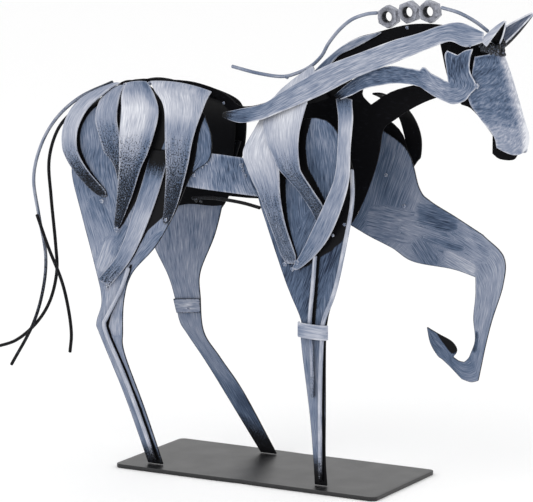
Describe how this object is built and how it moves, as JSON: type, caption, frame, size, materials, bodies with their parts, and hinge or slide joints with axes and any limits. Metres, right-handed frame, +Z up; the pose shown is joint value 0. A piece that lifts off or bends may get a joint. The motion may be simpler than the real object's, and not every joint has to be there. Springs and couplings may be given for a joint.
{
  "type": "metal horse statue",
  "caption": "Striding horse statue of cut plates, bent metal strips, rods and nuts, painted black with brushed silver-blue, on a flat base plate.",
  "frame": {"origin": "middle of the base plate's underside", "axes": "+X towards the head, along the base plate; +Z up; -Y towards the side with the standing fore leg"},
  "size_m": [0.3166, 0.068, 0.2469],
  "materials": {
    "black_paint": "semi-gloss black paint",
    "brushed_paint": "black base coat dry-brushed with pale grey, lilac and blue",
    "bare_steel": "grey steel nuts with a thin coat of paint"
  },
  "bodies": {
    "root": {"back_plate": "black_paint", "base_plate": "black_paint", "belly_rod": "black_paint", "chest_plate": "black_paint", "crest_nut_1": "bare_steel", "crest_nut_2": "bare_steel", "crest_nut_3": "bare_steel", "crest_strip": "brushed_paint", "face_sheet": "brushed_paint", "far_belly_band": "black_paint", "far_ear": "brushed_paint", "far_haunch_strip_1": "black_paint", "far_haunch_strip_2": "black_paint", "far_haunch_strip_3": "black_paint", "far_haunch_strip_4": "black_paint", "far_haunch_strip_5": "black_paint", "far_hind_bracelet": "brushed_paint", "far_hind_leg": "brushed_paint", "far_jaw": "black_paint", "far_shoulder_brace": "black_paint", "far_shoulder_strip_1": "black_paint", "far_shoulder_strip_2": "black_paint", "far_shoulder_strip_3": "black_paint", "forelock_rod": "brushed_paint", "mane_rod": "brushed_paint", "mane_strip": "brushed_paint", "near_belly_band": "brushed_paint", "near_ear": "brushed_paint", "near_fore_bracelet": "brushed_paint", "near_fore_leg": "brushed_paint", "near_fore_rod_1": "brushed_paint", "near_fore_rod_2": "brushed_paint", "near_haunch_strip_1": "brushed_paint", "near_haunch_strip_2": "brushed_paint", "near_haunch_strip_3": "brushed_paint", "near_haunch_strip_4": "brushed_paint", "near_haunch_strip_5": "brushed_paint", "near_hind_leg": "brushed_paint", "near_hind_rod": "brushed_paint", "near_jaw": "brushed_paint", "near_shoulder_strip_1": "brushed_paint", "near_shoulder_strip_2": "brushed_paint", "near_shoulder_strip_3": "brushed_paint", "neck_and_head_plate": "black_paint", "raised_fore_leg": "brushed_paint", "tail_rod_1": "brushed_paint", "tail_rod_2": "black_paint", "tail_rod_3": "black_paint", "throat_strip": "brushed_paint"}
  },
  "joints": []
}
